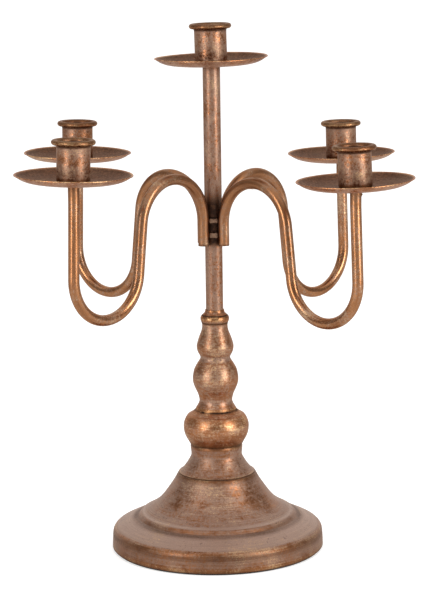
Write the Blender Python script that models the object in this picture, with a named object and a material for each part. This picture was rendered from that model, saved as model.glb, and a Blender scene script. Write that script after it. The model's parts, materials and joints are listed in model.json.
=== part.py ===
"""Five-light tabletop candelabra in antiqued copper.

A turned column stands on a spun bell foot. A tube stem rises from it to the top light, and four bent
tubes are brazed around the stem, each carrying a drip pan and a candle cup.
The origin is the middle of the felt pad's underside, +Z is up, and -Y is the front.
"""

import math

import bmesh
import bpy
from mathutils import Vector

MM = 0.001
GAP = 0.3 * MM

# Candle cups and drip pans
CANDLE_BORE = 23.0 * MM
CUP_WALL = 1.0 * MM
CUP_FLOOR = 2.6 * MM
CUP_HEIGHT = 30.6 * MM
CUP_LIP_OVERHANG = 3.9 * MM
CUP_LIP_HEIGHT = 3.9 * MM
PAN_RADIUS = 44.0 * MM
PAN_DEPTH = 6.2 * MM
PAN_SHEET = 0.9 * MM
PAN_FLAT_RADIUS = 12.0 * MM
PAN_CURVE_POWER = 5.0

# Cup screws and the plugs that take them
SCREW_RADIUS = 1.5 * MM
SCREW_HEAD_RADIUS = 3.0 * MM
SCREW_HEAD_HEIGHT = 1.6 * MM
SCREW_HEAD_EDGE = 0.3 * MM
SCREW_HEAD_SUNK = 0.2 * MM
SCREW_GRIP = 8.0 * MM
SCREW_SLOT_WIDTH = 1.0 * MM
SCREW_SLOT_DEPTH = 0.9 * MM
PLUG_LENGTH = 12.0 * MM

# Stem and column
STEM_RADIUS = 6.8 * MM
STEM_WALL = 1.0 * MM
STEM_LENGTH = 196.4 * MM
FERRULE_HEIGHT = 4.4 * MM
FERRULE_FOOT_RADIUS = 10.3 * MM
BALUSTER_HEIGHT = 75.6 * MM
BALUSTER_RADIUS = 18.05 * MM
BALL_HEIGHT = 27.3 * MM
BALL_RADIUS = 25.9 * MM
COLLAR_HEIGHT = 22.9 * MM
COLLAR_LIP_RADIUS = 30.5 * MM

# Foot
BASE_RADIUS = 84.2 * MM
BASE_HEIGHT = 59.4 * MM
BASE_SHEET = 1.2 * MM
BASE_TURN_IN = 9.0 * MM
FELT_THICKNESS = 1.2 * MM
FELT_INSET = 1.4 * MM

# Tie rod, washer and nut inside the foot and the column
ROD_RADIUS = 3.0 * MM
ROD_PAST_NUT = 3.0 * MM
STEM_PLUG_LENGTH = 18.0 * MM
ROD_SHORT_OF_PLUG_TOP = 3.0 * MM
WASHER_RADIUS = 14.0 * MM
WASHER_THICKNESS = 1.5 * MM
NUT_ACROSS_FLATS = 10.0 * MM
NUT_HEIGHT = 5.0 * MM

# Arms: one bend radius makes both the arch beside the stem and the U below it
ARM_RADIUS = 4.25 * MM
ARM_WALL = 0.8 * MM
ARM_BEND_RADIUS = 34.0 * MM
ARM_JOINT_HEIGHT = 244.4 * MM
ARM_UPRIGHT = 17.6 * MM
ARM_DROP = 41.2 * MM
ARM_RISE = 71.0 * MM
ARM_RISE_TOP = 14.0 * MM
ARM_SLANT = math.radians(6.8)
ARM_LEAN = math.radians(2.0)

# Each arm is bent by hand: (azimuth in degrees, lift of the arch, longer drop, longer rise)
ARMS = {
    "front_right": (-45.6, 0.0 * MM, -1.0 * MM, -0.8 * MM),
    "rear_right": (45.0, -0.5 * MM, 4.7 * MM, -0.1 * MM),
    "rear_left": (137.7, -0.2 * MM, 2.0 * MM, 0.4 * MM),
    "front_left": (226.9, 4.0 * MM, -2.3 * MM, 0.9 * MM),
}

# Each pan and cup sits a little out of level, in degrees about Y (right side down)
LIGHT_TILTS = {
    "top": -1.0, "front_right": -1.9, "rear_right": -0.9, "rear_left": 1.0, "front_left": 1.4,
}

# Braze tacks between neighbouring arms
TACK_HEIGHT = 4.4 * MM
TACK_LEVELS = {"lower": 8.0 * MM, "upper": 19.5 * MM}
TACK_DEPTH = 2.4 * MM
TACK_ROUNDING = 0.7 * MM

# Facets
FOOT_SIDES = 36
COLUMN_SIDES = 24
PAN_SIDES = 24
CUP_SIDES = 16
TUBE_SIDES = 8
SMALL_SIDES = 12
BEND_STEPS = 10
PAN_STEPS = 6
LIP_STEPS = 5

# Worked out from the dimensions above
BORE_RADIUS = ROD_RADIUS + GAP
SCREW_HOLE = SCREW_RADIUS + GAP
MOST_TILT = math.radians(max(abs(tilt) for tilt in LIGHT_TILTS.values()))
PLUG_BORE = SCREW_HOLE + SCREW_GRIP * math.sin(MOST_TILT)
CUP_RADIUS = CANDLE_BORE / 2 + CUP_WALL
BASE_FOOT_Z = FELT_THICKNESS + GAP
BASE_TOP_Z = BASE_FOOT_Z + BASE_HEIGHT
COLLAR_Z = BASE_TOP_Z + GAP
BALL_Z = COLLAR_Z + COLLAR_HEIGHT + GAP
BALUSTER_Z = BALL_Z + BALL_HEIGHT + GAP
STEM_Z = BALUSTER_Z + BALUSTER_HEIGHT + GAP
STEM_TOP_Z = STEM_Z + STEM_LENGTH
ARM_OFFSET = STEM_RADIUS + GAP + ARM_RADIUS

# Colours are linear RGB
COPPER = (0.32, 0.155, 0.088)
BRIGHT_COPPER = (0.46, 0.235, 0.12)
BRAZE = (0.40, 0.27, 0.15)
STEEL = (0.42, 0.41, 0.40)
FELT = (0.025, 0.022, 0.02)


def clear_scene():
    for item in list(bpy.data.objects):
        bpy.data.objects.remove(item, do_unlink=True)


def make_material(name, colour, roughness, metallic):
    material = bpy.data.materials.new(name)
    material.use_nodes = True
    shader = material.node_tree.nodes["Principled BSDF"]
    shader.inputs["Base Color"].default_value = (*colour, 1.0)
    shader.inputs["Roughness"].default_value = roughness
    shader.inputs["Metallic"].default_value = metallic
    return material


def add_object(name, mesh, material, location=(0.0, 0.0, 0.0), turn=0.0, parent=None):
    thing = bpy.data.objects.new(name, mesh)
    bpy.context.scene.collection.objects.link(thing)
    thing.location = location
    thing.rotation_euler = (0.0, 0.0, turn)
    thing.parent = parent
    if not mesh.materials:
        mesh.materials.append(material)
    return thing


def finish_mesh(bm, name, sharp_degrees=35.0):
    bmesh.ops.recalc_face_normals(bm, faces=bm.faces)
    mesh = bpy.data.meshes.new(name)
    bm.to_mesh(mesh)
    bm.free()
    mesh.shade_smooth()
    mesh.set_sharp_from_angle(angle=math.radians(sharp_degrees))
    return mesh


def turned_mesh(name, outline, sides):
    """A solid of revolution about Z from a closed outline of (radius, height) points."""
    bm = bmesh.new()
    verts = [bm.verts.new((radius, 0.0, height)) for radius, height in outline]
    edges = [bm.edges.new((verts[i - 1], verts[i])) for i in range(len(verts))]
    bmesh.ops.spin(
        bm, geom=verts + edges, cent=(0.0, 0.0, 0.0), axis=(0.0, 0.0, 1.0),
        dvec=(0.0, 0.0, 0.0), angle=math.tau, steps=sides, use_merge=True,
    )
    return finish_mesh(bm, name)


def arc(centre, radius, start, end, steps):
    """Points on a round stretch, with angles in degrees from the outward direction."""
    points = []
    for i in range(steps + 1):
        angle = math.radians(start + (end - start) * i / steps)
        points.append((centre[0] + radius * math.cos(angle), centre[1] + radius * math.sin(angle)))
    return points


def smooth(points, steps):
    """A Catmull-Rom curve through the points of a turned outline."""
    before = tuple(2 * a - b for a, b in zip(points[0], points[1]))
    after = tuple(2 * a - b for a, b in zip(points[-1], points[-2]))
    knots = [before, *points, after]
    curve = [points[0]]
    for p0, p1, p2, p3 in zip(knots, knots[1:], knots[2:], knots[3:]):
        for i in range(1, steps + 1):
            t = i / steps
            curve.append(tuple(
                0.5 * (2 * b + (c - a) * t + (2 * a - 5 * b + 4 * c - d) * t * t
                       + (3 * b - a - 3 * c + d) * t ** 3)
                for a, b, c, d in zip(p0, p1, p2, p3)
            ))
    return curve


def scaled(points, radius, height):
    """Profile points given as shares of a piece's widest radius and of its height."""
    return [(r * radius, z * height) for r, z in points]


def inset(points, distance):
    """Points moved sideways to the right of their direction of travel."""
    moved = []
    for i, (r, z) in enumerate(points):
        ahead = points[min(i + 1, len(points) - 1)]
        behind = points[max(i - 1, 0)]
        along = Vector((ahead[0] - behind[0], ahead[1] - behind[1])).normalized()
        moved.append((r + along.y * distance, z - along.x * distance))
    return moved


def drilled(outer, bore):
    """An outline from its outer points, listed top to bottom, and a bore along the axis."""
    return [(bore, outer[0][1]), *outer, (bore, outer[-1][1])]


def base_profile():
    """The bell, its step, the sloping flange, the shoulder and the edge, top to bottom."""
    bell = smooth(scaled([
        (0.366, 0.995), (0.430, 0.842), (0.551, 0.619), (0.686, 0.481),
    ], BASE_RADIUS, BASE_HEIGHT), 2)
    step = scaled([
        (0.720, 0.461), (0.740, 0.430), (0.754, 0.408), (0.792, 0.387),
        (0.853, 0.350), (0.912, 0.310), (0.957, 0.278),
    ], BASE_RADIUS, BASE_HEIGHT)
    edge = scaled([(0.978, 0.252), (0.991, 0.215), (1.0, 0.0)], BASE_RADIUS, BASE_HEIGHT)
    return bell + step + edge


def make_base(copper, felt):
    outer = base_profile()
    wall_end = (outer[-1][0] - BASE_SHEET, BASE_SHEET)
    inner = inset(outer, BASE_SHEET)[:-1]
    crown = (inner[0][0], BASE_HEIGHT - BASE_SHEET)
    turn_in = BASE_RADIUS - BASE_TURN_IN
    outline = [
        (BORE_RADIUS, BASE_HEIGHT), (outer[0][0] - 0.4 * MM, BASE_HEIGHT), *outer,
        (turn_in, 0.0), (turn_in, BASE_SHEET), wall_end, *reversed(inner[1:]), crown,
        (BORE_RADIUS, BASE_HEIGHT - BASE_SHEET),
    ]
    shell = turned_mesh("base_shell", outline, FOOT_SIDES)
    add_object("base_shell", shell, copper, (0.0, 0.0, BASE_FOOT_Z))
    pad_radius = BASE_RADIUS - FELT_INSET
    bm = bmesh.new()
    bmesh.ops.create_cone(
        bm, cap_ends=True, cap_tris=False, segments=FOOT_SIDES, radius1=pad_radius,
        radius2=pad_radius, depth=FELT_THICKNESS,
    )
    add_object("felt_pad", finish_mesh(bm, "felt_pad"), felt, (0.0, 0.0, FELT_THICKNESS / 2))


def make_collar(copper):
    """A neck ring that flares through a cove to a thin lip over the bell."""
    outer = scaled([
        (0.668, 1.0), (0.677, 0.94), (0.674, 0.84), (0.662, 0.70), (0.668, 0.585),
        (0.703, 0.48), (0.773, 0.323), (0.862, 0.162), (0.937, 0.061), (0.985, 0.022),
        (1.0, 0.0),
    ], COLLAR_LIP_RADIUS, COLLAR_HEIGHT)
    mesh = turned_mesh("base_collar", drilled(outer, BORE_RADIUS), COLUMN_SIDES)
    add_object("base_collar", mesh, copper, (0.0, 0.0, COLLAR_Z))


def make_ball(copper):
    """A bun with a low shoulder on top, cut flat where it meets the collar."""
    shoulder = scaled([(0.645, 1.0), (0.680, 0.968), (0.790, 0.896)], BALL_RADIUS, BALL_HEIGHT)
    bun = smooth(scaled([
        (0.890, 0.828), (0.985, 0.640), (0.998, 0.455), (0.948, 0.255), (0.803, 0.0),
    ], BALL_RADIUS, BALL_HEIGHT), 2)
    mesh = turned_mesh("column_ball", drilled(shoulder + bun, BORE_RADIUS), COLUMN_SIDES)
    add_object("column_ball", mesh, copper, (0.0, 0.0, BALL_Z))


def make_baluster(copper):
    """Bead ring, neck, upper bulb, waist, lower bulb and flared foot."""
    outer = scaled([
        (0.585, 1.0), (0.620, 0.983), (0.625, 0.957), (0.590, 0.932), (0.558, 0.900),
        (0.585, 0.846), (0.690, 0.780), (0.778, 0.715), (0.808, 0.669), (0.768, 0.618),
        (0.665, 0.570), (0.668, 0.541), (0.800, 0.490), (0.928, 0.432), (0.990, 0.365),
        (1.0, 0.325), (0.982, 0.285), (0.900, 0.230), (0.790, 0.173), (0.722, 0.108), (0.755, 0.068),
        (0.860, 0.024), (0.915, 0.0),
    ], BALUSTER_RADIUS, BALUSTER_HEIGHT)
    mesh = turned_mesh("baluster", drilled(outer, BORE_RADIUS), COLUMN_SIDES)
    add_object("baluster", mesh, copper, (0.0, 0.0, BALUSTER_Z))


def make_stem(copper, steel):
    cove_top = STEM_RADIUS + GAP + 0.35 * MM
    cove = smooth([
        (cove_top, FERRULE_HEIGHT), (cove_top + 0.45 * MM, FERRULE_HEIGHT * 0.55),
        (FERRULE_FOOT_RADIUS - 0.9 * MM, FERRULE_HEIGHT * 0.17), (FERRULE_FOOT_RADIUS, 0.0),
    ], 2)
    ferrule = turned_mesh("stem_ferrule", drilled(cove, STEM_RADIUS + GAP), COLUMN_SIDES)
    add_object("stem_ferrule", ferrule, copper, (0.0, 0.0, STEM_Z))
    tube = [
        (STEM_RADIUS, STEM_LENGTH), (STEM_RADIUS, 0.0),
        (STEM_RADIUS - STEM_WALL, 0.0), (STEM_RADIUS - STEM_WALL, STEM_LENGTH),
    ]
    stem = turned_mesh("stem_tube", tube, CUP_SIDES)
    add_object("stem_tube", stem, copper, (0.0, 0.0, STEM_Z))
    radius = STEM_RADIUS - STEM_WALL - GAP
    plug = drilled([(radius, STEM_PLUG_LENGTH), (radius, 0.0)], BORE_RADIUS)
    foot_plug = turned_mesh("stem_foot_plug", plug, CUP_SIDES)
    add_object("stem_foot_plug", foot_plug, steel, (0.0, 0.0, STEM_Z))


def make_tie_rod(steel):
    washer_z = BASE_TOP_Z - BASE_SHEET - GAP - WASHER_THICKNESS
    nut_z = washer_z - GAP - NUT_HEIGHT
    rod_z = nut_z - ROD_PAST_NUT
    rod_top = STEM_Z + STEM_PLUG_LENGTH - ROD_SHORT_OF_PLUG_TOP
    washer_outline = drilled([(WASHER_RADIUS, WASHER_THICKNESS), (WASHER_RADIUS, 0.0)], BORE_RADIUS)
    washer = turned_mesh("base_washer", washer_outline, CUP_SIDES)
    add_object("base_washer", washer, steel, (0.0, 0.0, washer_z))
    corner = NUT_ACROSS_FLATS / math.sqrt(3)
    nut = turned_mesh("base_nut", [
        (BORE_RADIUS * 2 / math.sqrt(3), NUT_HEIGHT), (corner, NUT_HEIGHT),
        (corner, 0.0), (BORE_RADIUS * 2 / math.sqrt(3), 0.0),
    ], 6)
    add_object("base_nut", nut, steel, (0.0, 0.0, nut_z))
    length = rod_top - rod_z
    bm = bmesh.new()
    bmesh.ops.create_cone(
        bm, cap_ends=True, cap_tris=False, segments=SMALL_SIDES, radius1=ROD_RADIUS,
        radius2=ROD_RADIUS, depth=length,
    )
    add_object("tie_rod", finish_mesh(bm, "tie_rod"), steel, (0.0, 0.0, rod_z + length / 2))


def pan_mesh():
    """A shallow spun dish: flat in the middle, then rising ever more steeply to its rim."""
    under = []
    for i in range(PAN_STEPS + 1):
        share = i / PAN_STEPS
        radius = PAN_FLAT_RADIUS + (PAN_RADIUS - PAN_FLAT_RADIUS) * share
        under.append((radius, PAN_DEPTH * share ** PAN_CURVE_POWER))
    upper = inset(under[:-1], -PAN_SHEET)
    under[-1] = (PAN_RADIUS, PAN_DEPTH - PAN_SHEET / 2)
    brim = (PAN_RADIUS - PAN_SHEET * 0.8, PAN_DEPTH)
    outline = [
        (SCREW_HOLE, PAN_SHEET), *upper, brim, *reversed(under), (SCREW_HOLE, 0.0),
    ]
    return turned_mesh("drip_pan", outline, PAN_SIDES)


def cup_mesh():
    """A straight cup with a rolled lip, and a floor countersunk for its screw."""
    bore = CANDLE_BORE / 2
    lip = CUP_LIP_HEIGHT / 2
    lip_centre = (CUP_RADIUS + CUP_LIP_OVERHANG - lip, CUP_HEIGHT - lip)
    sink_radius = SCREW_HEAD_RADIUS + GAP
    sink_z = CUP_FLOOR - SCREW_HEAD_SUNK - SCREW_HEAD_HEIGHT - GAP
    outline = [
        (SCREW_HOLE, 0.0), (CUP_RADIUS - 0.6 * MM, 0.0), (CUP_RADIUS, 0.6 * MM),
        (CUP_RADIUS, CUP_HEIGHT - CUP_LIP_HEIGHT - 1.2 * MM),
        *arc(lip_centre, lip, -110.0, 100.0, LIP_STEPS),
        (bore + 0.9 * MM, CUP_HEIGHT - 0.9 * MM), (bore, CUP_HEIGHT - 2.6 * MM),
        (bore, CUP_FLOOR), (sink_radius, CUP_FLOOR),
        (sink_radius, CUP_FLOOR - SCREW_HEAD_SUNK - SCREW_HEAD_EDGE), (SCREW_HOLE, sink_z),
    ]
    return turned_mesh("candle_cup", outline, CUP_SIDES)


def slot_cutter():
    cutter = bpy.data.objects.new("slot_cutter", bpy.data.meshes.new("slot_cutter"))
    bm = bmesh.new()
    bmesh.ops.create_cube(bm, size=1.0)
    size = (SCREW_HEAD_RADIUS * 3, SCREW_SLOT_WIDTH, SCREW_SLOT_DEPTH * 2)
    bmesh.ops.scale(bm, vec=size, verts=bm.verts)
    bm.to_mesh(cutter.data)
    bm.free()
    bpy.context.scene.collection.objects.link(cutter)
    return cutter


def screw_mesh():
    """A slotted countersunk screw with its head's top at the origin."""
    floor_below_head = CUP_FLOOR - SCREW_HEAD_SUNK
    length = floor_below_head + GAP + PAN_SHEET + GAP + SCREW_GRIP
    outline = [
        (0.0, 0.0), (SCREW_HEAD_RADIUS, 0.0), (SCREW_HEAD_RADIUS, -SCREW_HEAD_EDGE),
        (SCREW_RADIUS, -SCREW_HEAD_HEIGHT), (SCREW_RADIUS, -length), (0.0, -length),
    ]
    bm = bmesh.new()
    verts = [bm.verts.new((radius, 0.0, height)) for radius, height in outline]
    edges = [bm.edges.new(pair) for pair in zip(verts, verts[1:])]
    bmesh.ops.spin(
        bm, geom=verts + edges, cent=(0.0, 0.0, 0.0), axis=(0.0, 0.0, 1.0),
        dvec=(0.0, 0.0, 0.0), angle=math.tau, steps=SMALL_SIDES, use_merge=True,
    )
    bmesh.ops.remove_doubles(bm, verts=bm.verts, dist=0.001 * MM)
    blank = bpy.data.objects.new("screw_blank", finish_mesh(bm, "screw_blank"))
    bpy.context.scene.collection.objects.link(blank)
    cutter = slot_cutter()
    cut = blank.modifiers.new("slot", "BOOLEAN")
    cut.object = cutter
    cut.operation = "DIFFERENCE"
    graph = bpy.context.evaluated_depsgraph_get()
    mesh = bpy.data.meshes.new_from_object(blank.evaluated_get(graph))
    mesh.name = "cup_screw"
    bpy.data.objects.remove(blank, do_unlink=True)
    bpy.data.objects.remove(cutter, do_unlink=True)
    return mesh


def plug_mesh(name, tube_bore, tube_sides):
    """A plug that clears the flats of a faceted tube, bored wide enough for a tilted screw."""
    radius = tube_bore * math.cos(math.pi / tube_sides) - GAP
    outline = drilled([(radius, PLUG_LENGTH), (radius, 0.0)], PLUG_BORE)
    return turned_mesh(name, outline, SMALL_SIDES)


def arm_path(lift, longer_drop, longer_rise):
    """The arm's centre line as (distance from the stem's axis, height), from its lower end."""
    height = ARM_JOINT_HEIGHT + ARM_UPRIGHT + lift
    arch = (ARM_OFFSET + ARM_BEND_RADIUS, height)
    path = [(ARM_OFFSET, ARM_JOINT_HEIGHT), (ARM_OFFSET, height)]
    slant = math.degrees(ARM_SLANT)
    lean = math.degrees(ARM_LEAN)
    path += arc(arch, ARM_BEND_RADIUS, 180.0, slant, BEND_STEPS)[1:]
    drop = ARM_DROP + longer_drop
    out, down = path[-1]
    out += drop * math.sin(ARM_SLANT)
    down -= drop * math.cos(ARM_SLANT)
    path.append((out, down))
    centre = (
        out + ARM_BEND_RADIUS * math.cos(ARM_SLANT),
        down + ARM_BEND_RADIUS * math.sin(ARM_SLANT),
    )
    path += arc(centre, ARM_BEND_RADIUS, 180.0 + slant, 360.0 + lean, BEND_STEPS)[1:]
    out, up = path[-1]
    leaning = ARM_RISE + longer_rise - ARM_RISE_TOP
    path.append((out - leaning * math.tan(ARM_LEAN), up + leaning))
    path.append((path[-1][0], up + ARM_RISE + longer_rise))
    return path


def tube_mesh(name, path, radius, wall):
    """A hollow tube along a path in the XZ plane, with square-cut open ends."""
    bm = bmesh.new()
    rings = []
    for i, (out, up) in enumerate(path):
        ahead = path[min(i + 1, len(path) - 1)]
        behind = path[max(i - 1, 0)]
        along = Vector((ahead[0] - behind[0], 0.0, ahead[1] - behind[1])).normalized()
        across = Vector((along.z, 0.0, -along.x))
        ring = []
        for size in (radius, radius - wall):
            loop = []
            for side in range(TUBE_SIDES):
                angle = math.tau * (side + 0.5) / TUBE_SIDES
                offset = across * math.cos(angle) + Vector((0.0, 1.0, 0.0)) * math.sin(angle)
                loop.append(bm.verts.new(Vector((out, 0.0, up)) + offset * size))
            ring.append(loop)
        rings.append(ring)
    for first, second in zip(rings, rings[1:]):
        for skin in (0, 1):
            join_loops(bm, first[skin], second[skin])
    for end in (rings[0], rings[-1]):
        join_loops(bm, end[0], end[1])
    return finish_mesh(bm, name)


def join_loops(bm, first, second):
    for i in range(len(first)):
        bm.faces.new((first[i - 1], first[i], second[i], second[i - 1]))


def make_light(place, origin, pan, cup, screw, plug, metals):
    """The pan, cup, screw and plug on a tube end whose top is at origin; all but the plug tilt."""
    x, y, top = origin
    seat = bpy.data.objects.new("seat_" + place, None)
    bpy.context.scene.collection.objects.link(seat)
    seat.location = origin
    seat.rotation_euler = (0.0, math.radians(LIGHT_TILTS[place]), 0.0)
    cup_z = GAP + PAN_SHEET + GAP
    head_z = cup_z + CUP_FLOOR - SCREW_HEAD_SUNK
    add_object("drip_pan_" + place, pan, metals["copper"], (0.0, 0.0, GAP), parent=seat)
    add_object("candle_cup_" + place, cup, metals["bright"], (0.0, 0.0, cup_z), parent=seat)
    add_object("cup_screw_" + place, screw, metals["steel"], (0.0, 0.0, head_z), parent=seat)
    add_object("tube_plug_" + place, plug, metals["steel"], (x, y, top - PLUG_LENGTH))


def make_arm(place, setting, copper):
    """One arm tube. Returns where the top of its riser is."""
    azimuth = math.radians(setting[0])
    path = arm_path(*setting[1:])
    add_object("arm_" + place, tube_mesh("arm_" + place, path, ARM_RADIUS, ARM_WALL), copper,
               turn=azimuth)
    reach, top = path[-1]
    return (reach * math.cos(azimuth), reach * math.sin(azimuth), top)


def make_tacks(braze):
    """A lower and an upper braze tack in each gap between neighbouring arms."""
    places = list(ARMS)
    for place, following in zip(places, places[1:] + places[:1]):
        start = ARMS[place][0]
        spread = (ARMS[following][0] - start) % 360.0
        middle = math.radians(start + spread / 2)
        half_gap = ARM_OFFSET * math.sin(math.radians(spread / 2)) - ARM_RADIUS - GAP
        inner = STEM_RADIUS + GAP
        distance = max(inner + TACK_DEPTH / 2, ARM_OFFSET * math.cos(math.radians(spread / 2)))
        for level, rise in TACK_LEVELS.items():
            name = f"braze_{level}_{place}"
            bm = bmesh.new()
            bmesh.ops.create_cube(bm, size=1.0)
            size = (TACK_DEPTH, 2 * half_gap, TACK_HEIGHT)
            bmesh.ops.scale(bm, vec=size, verts=bm.verts)
            bmesh.ops.bevel(
                bm, geom=bm.edges[:] + bm.verts[:], offset=TACK_ROUNDING, segments=1,
                affect="EDGES",
            )
            centre = (
                distance * math.cos(middle), distance * math.sin(middle),
                ARM_JOINT_HEIGHT + rise,
            )
            add_object(name, finish_mesh(bm, name, 60.0), braze, centre, middle)


def main():
    clear_scene()
    metals = {
        "copper": make_material("antique_copper", COPPER, 0.38, 1.0),
        "bright": make_material("rubbed_copper", BRIGHT_COPPER, 0.33, 1.0),
        "steel": make_material("zinc_steel", STEEL, 0.35, 1.0),
    }
    braze = make_material("braze", BRAZE, 0.4, 1.0)
    felt = make_material("black_felt", FELT, 0.95, 0.0)
    make_base(metals["copper"], felt)
    make_collar(metals["copper"])
    make_ball(metals["copper"])
    make_baluster(metals["copper"])
    make_stem(metals["copper"], metals["steel"])
    make_tie_rod(metals["steel"])
    pan, cup, screw = pan_mesh(), cup_mesh(), screw_mesh()
    stem_plug = plug_mesh("stem_top_plug", STEM_RADIUS - STEM_WALL, CUP_SIDES)
    arm_plug = plug_mesh("arm_plug", ARM_RADIUS - ARM_WALL, TUBE_SIDES)
    make_light("top", (0.0, 0.0, STEM_TOP_Z), pan, cup, screw, stem_plug, metals)
    for place, setting in ARMS.items():
        top = make_arm(place, setting, metals["copper"])
        make_light(place, top, pan, cup, screw, arm_plug, metals)
    make_tacks(braze)


main()
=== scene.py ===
"""Looks for the five-light candelabra: smooth metal pieces, patina, studio light and camera."""

import json
import math

import bmesh
import bpy
import numpy as np
from mathutils import Matrix, Vector, noise


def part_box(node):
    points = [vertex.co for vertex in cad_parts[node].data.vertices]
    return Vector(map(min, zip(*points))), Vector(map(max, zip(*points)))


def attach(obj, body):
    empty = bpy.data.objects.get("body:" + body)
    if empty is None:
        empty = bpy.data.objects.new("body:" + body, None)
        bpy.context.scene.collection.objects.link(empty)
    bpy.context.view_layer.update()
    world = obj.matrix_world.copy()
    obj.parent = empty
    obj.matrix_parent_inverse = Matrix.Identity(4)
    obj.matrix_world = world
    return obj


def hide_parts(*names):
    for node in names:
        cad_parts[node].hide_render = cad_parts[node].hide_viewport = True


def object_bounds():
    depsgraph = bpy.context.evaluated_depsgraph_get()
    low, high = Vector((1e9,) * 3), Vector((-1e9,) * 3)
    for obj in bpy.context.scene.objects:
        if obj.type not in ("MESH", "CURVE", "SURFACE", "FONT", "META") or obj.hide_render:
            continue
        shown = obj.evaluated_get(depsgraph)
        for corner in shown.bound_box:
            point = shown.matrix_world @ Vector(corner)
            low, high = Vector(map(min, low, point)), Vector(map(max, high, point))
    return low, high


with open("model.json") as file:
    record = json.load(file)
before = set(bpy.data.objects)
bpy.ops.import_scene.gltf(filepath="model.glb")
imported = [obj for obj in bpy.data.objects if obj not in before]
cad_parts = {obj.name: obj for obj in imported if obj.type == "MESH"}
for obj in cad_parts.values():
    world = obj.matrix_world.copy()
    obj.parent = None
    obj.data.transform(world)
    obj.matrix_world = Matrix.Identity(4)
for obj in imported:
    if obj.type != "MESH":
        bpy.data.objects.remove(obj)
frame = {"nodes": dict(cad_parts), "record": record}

CAD_LOW, CAD_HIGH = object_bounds()

MM = 0.001
GAP = 0.3 * MM
UP = Vector((0.0, 0.0, 1.0))

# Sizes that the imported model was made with: candle cups, their screw holes, and drip pans
CUP_BORE_RADIUS = 11.5 * MM
CUP_RADIUS = 12.5 * MM
CUP_FLOOR = 2.6 * MM
CUP_HEIGHT = 30.6 * MM
CUP_LIP_OVERHANG = 3.9 * MM
CUP_LIP_HEIGHT = 3.9 * MM
SCREW_HOLE = 1.8 * MM
SCREW_HEAD_HOLE = 3.3 * MM
SCREW_HEAD_EDGE = 0.5 * MM
SCREW_SINK = 2.1 * MM
SEAT_OFFSET = 7.5 * MM
PAN_RADIUS = 44.0 * MM
PAN_DEPTH = 6.2 * MM
PAN_SHEET = 0.9 * MM
PAN_FLAT_RADIUS = 12.0 * MM
PAN_CURVE_POWER = 5.0

# Column and foot
STEM_RADIUS = 6.8 * MM
STEM_WALL = 1.0 * MM
FERRULE_HEIGHT = 4.4 * MM
FERRULE_FOOT_RADIUS = 10.3 * MM
BALUSTER_RADIUS = 18.05 * MM
BALUSTER_HEIGHT = 75.6 * MM
BALL_RADIUS = 25.9 * MM
BALL_HEIGHT = 27.3 * MM
COLLAR_LIP_RADIUS = 30.5 * MM
COLLAR_HEIGHT = 22.9 * MM
BASE_RADIUS = 84.2 * MM
BASE_HEIGHT = 59.4 * MM
BASE_SHEET = 1.2 * MM
BASE_TURN_IN = 9.0 * MM
FELT_RADIUS = 82.8 * MM
FELT_THICKNESS = 1.2 * MM
ROD_BORE = 3.3 * MM

# Arms and the tacks between them. Angles are in degrees. ARMS has each arm's azimuth, and how much
# higher its arch, longer its drop and longer its rise are than the plain arm's
ARM_RADIUS = 4.25 * MM
ARM_WALL = 0.8 * MM
ARM_BEND_RADIUS = 34.0 * MM
ARM_JOINT_HEIGHT = 244.4 * MM
ARM_UPRIGHT = 17.6 * MM
ARM_DROP = 41.2 * MM
ARM_RISE = 71.0 * MM
ARM_RISE_TOP = 14.0 * MM
ARM_SLANT = 6.8
ARM_LEAN = 2.0
ARM_OFFSET = STEM_RADIUS + GAP + ARM_RADIUS
ARMS = {
    "front_right": (-45.6, 0.0 * MM, -1.0 * MM, -0.8 * MM),
    "rear_right": (45.0, -0.5 * MM, 4.7 * MM, -0.1 * MM),
    "rear_left": (137.7, -0.2 * MM, 2.0 * MM, 0.4 * MM),
    "front_left": (226.9, 4.0 * MM, -2.3 * MM, 0.9 * MM),
}
TACK_HEIGHT = 4.4 * MM
TACK_DEPTH = 2.4 * MM
TACK_LEVELS = {"lower": 8.0 * MM, "upper": 19.5 * MM}

# Small shapes and marks that only this script adds
CUP_FOOT_ROUNDING = 0.5 * MM
PAN_WAVE = 0.22 * MM
FELT_ROUNDING = 0.4 * MM
TACK_LUMPS = 0.42 * MM
STEM_DARK_HEIGHT = 37.0 * MM
SOLDER_ARM = "front_right"
SOLDER_BELOW_TOP = 4.6 * MM
SOLDER_SIZE = 0.9 * MM

# How finely the pieces are cut, and the angles in degrees from which their edges are shaded sharp
FOOT_SIDES = 160
FELT_SIDES = 120
COLLAR_SIDES = 120
BALL_SIDES = 128
BALUSTER_SIDES = 112
FERRULE_SIDES = 72
STEM_SIDES = 64
STEM_STEPS = 120
ARM_SIDES = 40
ARM_BEND_STEPS = 44
PAN_SIDES = 128
PAN_STEPS = 26
CUP_SIDES = 96
TACK_CUTS = 11
LONGEST_RUN = 3.0 * MM
SHARP_EDGE = 38.0
SHARP_TACK_EDGE = 70.0


# ---------------------------------------------------------------- outlines

def arc(centre, radius, start, end, steps):
    """Points on an arc between two angles in degrees."""
    points = []
    for i in range(steps + 1):
        angle = math.radians(start + (end - start) * i / steps)
        points.append((centre[0] + radius * math.cos(angle), centre[1] + radius * math.sin(angle)))
    return points


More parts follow.
